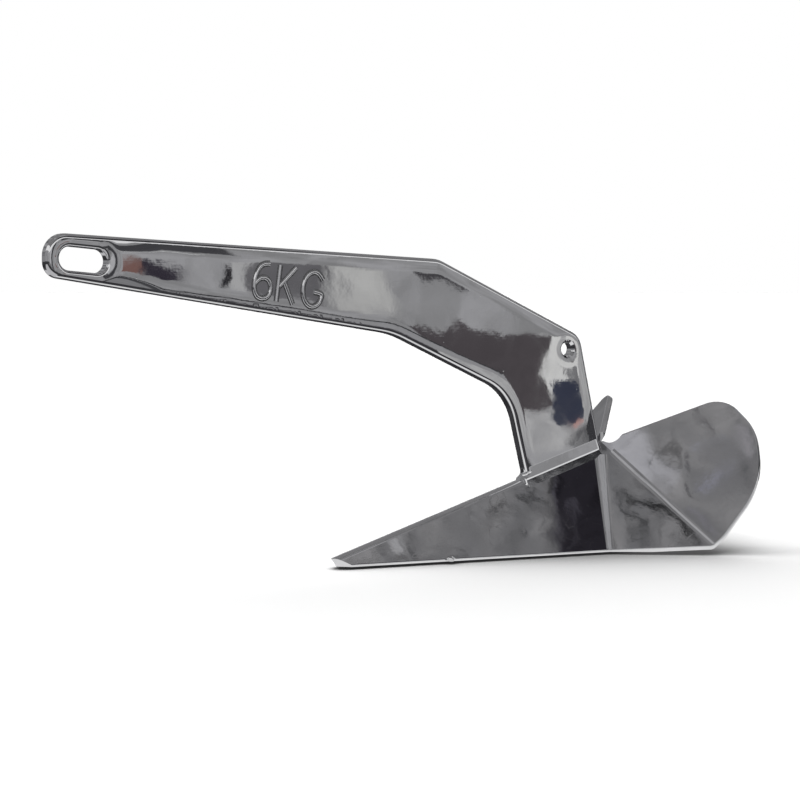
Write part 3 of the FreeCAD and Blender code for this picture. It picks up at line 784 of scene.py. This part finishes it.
def lay_table(settings):
    """A round table top on the ground, wider than the view."""
    shape = bmesh.new()
    bmesh.ops.create_circle(shape, cap_ends=True, segments=96, radius=settings.floor_radius)
    mesh = bpy.data.meshes.new("table")
    shape.to_mesh(mesh)
    shape.free()
    table = bpy.data.objects.new("table", mesh)
    bpy.context.scene.collection.objects.link(table)
    dress(table, table_white(settings))


def hang_key_light(settings):
    """A wide soft key light from above and behind, whose shadow falls towards the camera."""
    key = bpy.data.lights.new("key_light", "SUN")
    towards = settings.key_from.normalized()
    key.energy = settings.sun * math.pi / towards.z
    key.angle = settings.key_angle
    lamp = bpy.data.objects.new("key_light", key)
    lamp.rotation_euler = towards.to_track_quat("Z", "Y").to_euler()
    lamp.visible_glossy = False
    bpy.context.scene.collection.objects.link(lamp)


def place_camera(settings):
    """The camera of the photograph, level apart from its dip."""
    lens = bpy.data.cameras.new("camera")
    lens.sensor_width = 36.0
    lens.lens = settings.lens
    lens.clip_end = 500.0
    camera = bpy.data.objects.new("camera", lens)
    camera.location = settings.camera
    camera.rotation_euler = (math.pi / 2 - settings.dip, 0.0, -settings.heading)
    bpy.context.scene.collection.objects.link(camera)
    bpy.context.scene.camera = camera


# Properties

class SteelFinish(bpy.types.PropertyGroup):
    steel: FloatVectorProperty(name="Steel", description="Colour of the clean steel", subtype="COLOR_GAMMA",
                               size=3, default=channels("#DBDBDD"), min=0, max=1)
    steel_haze: FloatVectorProperty(name="Hazy steel", description="Colour where the buffing left a haze",
                                    subtype="COLOR_GAMMA", size=3, default=channels("#CCCCCD"), min=0, max=1)
    haze: FloatProperty(name="Haze", description="How much rougher the hazy places are", default=0.05,
                        min=0, max=1, subtype="FACTOR")
    haze_mm: FloatProperty(name="Haze size", description="Distance between hazy places in millimetres",
                           default=45.0, min=1)
    line_mm: FloatProperty(name="Line length", description="Length of the buffing lines in millimetres",
                           default=35.0, min=1)
    line_stretch: FloatProperty(name="Line stretch", description="How many times longer than wide lines are",
                                default=30.0, min=1)
    line_height_mm: FloatProperty(name="Line height", description="Height of buffing lines in millimetres",
                                  default=0.0016, min=0)
    pit_spacing_mm: FloatProperty(name="Pit spacing", description="Distance between pits in millimetres",
                                  default=16.0, min=1)
    pit_width_mm: FloatProperty(name="Pit width", description="Width of the pits in millimetres",
                                default=0.56, min=0)
    pit_depth_mm: FloatProperty(name="Pit depth", description="Depth of the pits in millimetres",
                                default=0.12, min=0)
    scuff_mm: FloatProperty(name="Scuff size", description="Size of a scuff's curl in millimetres",
                            default=26.0, min=1)
    scuff_patch_mm: FloatProperty(name="Scuff spacing", default=60.0, min=1,
                                  description="Distance between scuffed places in millimetres")


class ShankSizes(bpy.types.PropertyGroup):
    cell: FloatProperty(name="Cell", description="Size of the grid that the flats are shaped on",
                        default=0.003, min=0.0005, unit="LENGTH")
    fillet: FloatProperty(name="Fillet", description="Radius of the shank's rounded edges", default=0.0034,
                          unit="LENGTH")
    roll_width: FloatProperty(name="Roll-off width", description="Width of the margin that falls away",
                              default=0.009, unit="LENGTH")
    roll_depth: FloatProperty(name="Roll-off depth", description="How far the flat has fallen at its edge",
                              default=0.00022, unit="LENGTH")
    foot: FloatProperty(name="Foot", description="Height of the foot, whose underside the weld hides",
                        default=0.055, unit="LENGTH")
    eye_roll: FloatProperty(name="Eye roll-off", description="How many times deeper the eye's edges fall",
                            default=2.4, min=1)
    eye_length: FloatProperty(name="Eye length", description="Length of the eye, where the fall is deeper",
                              default=0.095, unit="LENGTH")
    eye_blend: FloatProperty(name="Eye blend", description="Length over which the fall deepens",
                             default=0.030, unit="LENGTH")


class FigureSizes(bpy.types.PropertyGroup):
    left: FloatProperty(name="Left", description="Left end of the figure along the arm", default=-0.13745,
                        unit="LENGTH")
    bottom: FloatProperty(name="Bottom", description="Height of the figure's lower left corner",
                          default=0.2158, unit="LENGTH")
    height: FloatProperty(name="Height", description="Height of the signs", default=0.0284, unit="LENGTH")
    tilt: FloatProperty(name="Tilt", description="How far the line of signs falls towards the bend",
                        default=math.radians(8.5), subtype="ANGLE")
    six_advance: FloatProperty(name="After 6", description="From the left of the 6 to the left of the K",
                               default=0.0224, unit="LENGTH")
    k_advance: FloatProperty(name="After K", description="From the left of the K to the left of the G",
                             default=0.0229, unit="LENGTH")
    bead: FloatProperty(name="Bead", description="Half width of the raised strokes", default=0.0015,
                        unit="LENGTH")
    bead_rise: FloatProperty(name="Bead rise", description="How far the strokes stand out", default=0.0012,
                             unit="LENGTH")
    # The margin is dull and darkened: painted shade along the foot of the strokes
    margin: FloatProperty(name="Margin", description="Half width of the unbuffed margin along the strokes",
                          default=0.0025, unit="LENGTH")
    margin_rise: FloatProperty(name="Margin rise", description="How far the margin's middle stands out",
                               default=0.00012, unit="LENGTH")


class BurrSizes(bpy.types.PropertyGroup):
    place: FloatVectorProperty(name="Place", description="Middle of the drop", size=3,
                               default=(0.0385, -0.0300, 0.0045), unit="LENGTH", subtype="TRANSLATION")
    length: FloatProperty(name="Length", description="Length along the edge", default=0.0075, unit="LENGTH")
    depth: FloatProperty(name="Depth", description="Size across the blade", default=0.0050, unit="LENGTH")
    height: FloatProperty(name="Height", description="Height", default=0.0048, unit="LENGTH")
    uneven: FloatProperty(name="Unevenness", description="How uneven the skin is", default=0.45, min=0, max=1,
                          subtype="FACTOR")


class StudioSettings(bpy.types.PropertyGroup):
    camera: FloatVectorProperty(name="Camera", description="Where the camera stands", size=3,
                                default=(-1.09185, -1.4210, 0.22555), unit="LENGTH", subtype="TRANSLATION")
    heading: FloatProperty(name="Heading", description="The camera's heading, turned from +Y towards +X",
                           default=math.radians(37.7789), subtype="ANGLE")
    dip: FloatProperty(name="Dip", description="How far the camera looks down", default=math.radians(2.96669),
                       subtype="ANGLE")
    lens: FloatProperty(name="Lens", description="Focal length on a 36 mm wide sensor", default=100.241,
                        subtype="DISTANCE_CAMERA")
    sky: FloatProperty(name="Surround", description="Strength of the even light from all round", default=0.06,
                       min=0, max=1, subtype="FACTOR")
    sun: FloatProperty(name="Key light", description="Share of the floor's light from the key light",
                       default=0.94, min=0, max=1, subtype="FACTOR")
    key_from: FloatVectorProperty(name="Key light from", description="Where the key light comes from",
                                  size=3, default=(0.12, 0.68, 0.60), subtype="DIRECTION")
    key_angle: FloatProperty(name="Key light width", description="How wide it looks from the table",
                             default=math.radians(85.0), subtype="ANGLE")
    floor_radius: FloatProperty(name="Floor", description="Radius of the floor", default=60.0, unit="LENGTH")
    floor_white: FloatProperty(name="Floor white", description="Reflectance of the floor", default=0.93,
                               min=0, max=1, subtype="FACTOR")
    floor_lift: FloatProperty(name="Floor lift", description="White added to the floor's missing reflectance",
                              default=0.08, min=0, max=1, subtype="FACTOR")
    # Reach and depth of the painted contact shadow on the table
    contact_reach: FloatProperty(name="Contact reach", description="How far round it the anchor shades",
                                 default=0.17, unit="LENGTH")
    contact_level: FloatProperty(name="Contact level", default=0.12, min=0, max=1, subtype="FACTOR",
                                 description="Share of its white that a closed-in place keeps")


# Operators

class ANCHOR_OT_shank(bpy.types.Operator):
    """Finishes the shank: flat bar, ground and buffed along its length"""
    bl_idname = "anchor.shank"
    bl_label = "Finish Shank"

    def execute(self, context):
        mesh, normals = rolled_shank(context.scene.anchor_shank)
        piece = show("buffed_shank", mesh, buffed_bar(context.scene.anchor_finish))
        mesh.normals_split_custom_set(normals)
        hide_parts("shank")
        return {"FINISHED"}


class ANCHOR_OT_fluke(bpy.types.Operator):
    """Finishes the fluke: folded sheet, buffed across its flats"""
    bl_idname = "anchor.fluke"
    bl_label = "Finish Fluke"

    def execute(self, context):
        dress(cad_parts["fluke_plate"], buffed_sheet(context.scene.anchor_finish))
        return {"FINISHED"}


class ANCHOR_OT_weld(bpy.types.Operator):
    """Finishes the weld round the foot of the shank and the ballast in the toe"""
    bl_idname = "anchor.weld"
    bl_label = "Finish Weld"

    def execute(self, context):
        dress(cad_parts["shank_weld"], ground_weld(context.scene.anchor_finish))
        dress(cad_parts["toe_ballast"], ground_ballast(context.scene.anchor_finish))
        return {"FINISHED"}


class ANCHOR_OT_weight_figure(bpy.types.Operator):
    """Raises the weight figure, 6KG, on the near side of the arm"""
    bl_idname = "anchor.weight_figure"
    bl_label = "Raise Weight Figure"

    def execute(self, context):
        finish = context.scene.anchor_finish
        sizes = context.scene.anchor_figure
        near_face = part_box("shank")[0].y
        runs = figure_runs(sizes, near_face)
        mesh = bead_mesh("weight_figure", runs, sizes.bead, sizes.bead_rise, near_face)
        show("weight_figure", mesh, raised_figure(finish))
        # The margin carries painted shade along the foot of the strokes
        mesh = bead_mesh("figure_margin", runs, sizes.margin, sizes.margin_rise, near_face)
        show("figure_margin", mesh, painted_shade_margin(finish))
        return {"FINISHED"}


class ANCHOR_OT_burr(bpy.types.Operator):
    """Adds the drop of weld metal left on the near blade's lower edge"""
    bl_idname = "anchor.burr"
    bl_label = "Add Edge Burr"

    def execute(self, context):
        mesh = burr_mesh(context.scene.anchor_burr)
        show("edge_burr", mesh, unground_drop(context.scene.anchor_finish))
        return {"FINISHED"}


class ANCHOR_OT_studio(bpy.types.Operator):
    """Sets up the white table, the surround, the key light, the flags and the camera"""
    bl_idname = "anchor.studio"
    bl_label = "Set Up Studio"

    def execute(self, context):
        settings = context.scene.anchor_studio
        white_surround(settings.sky)
        lay_table(settings)
        for flag in FLAGS:
            hang_flag(flag)
        hang_key_light(settings)
        place_camera(settings)
        context.scene.view_settings.view_transform = "Standard"
        return {"FINISHED"}


class ANCHOR_PT_panel(bpy.types.Panel):
    """Lists the steps that dress the anchor"""
    bl_idname = "ANCHOR_PT_panel"
    bl_label = "Plough Anchor"
    bl_space_type = "VIEW_3D"
    bl_region_type = "UI"
    bl_category = "Anchor"

    def draw(self, context):
        for step in STEPS:
            self.layout.operator(step.bl_idname)


STEPS = (
    ANCHOR_OT_shank,
    ANCHOR_OT_fluke,
    ANCHOR_OT_weld,
    ANCHOR_OT_weight_figure,
    ANCHOR_OT_burr,
    ANCHOR_OT_studio,
)
GROUPS = {
    "anchor_finish": SteelFinish,
    "anchor_shank": ShankSizes,
    "anchor_figure": FigureSizes,
    "anchor_burr": BurrSizes,
    "anchor_studio": StudioSettings,
}


def register():
    for kind in (*GROUPS.values(), *STEPS, ANCHOR_PT_panel):
        bpy.utils.register_class(kind)
    for name, kind in GROUPS.items():
        setattr(bpy.types.Scene, name, PointerProperty(type=kind))


def unregister():
    for name in GROUPS:
        delattr(bpy.types.Scene, name)
    for kind in (ANCHOR_PT_panel, *reversed(STEPS), *reversed(GROUPS.values())):
        bpy.utils.unregister_class(kind)


def main():
    register()
    for step in STEPS:
        group, operator = step.bl_idname.split(".")
        getattr(getattr(bpy.ops, group), operator)()


if __name__ == "__main__":
    main()
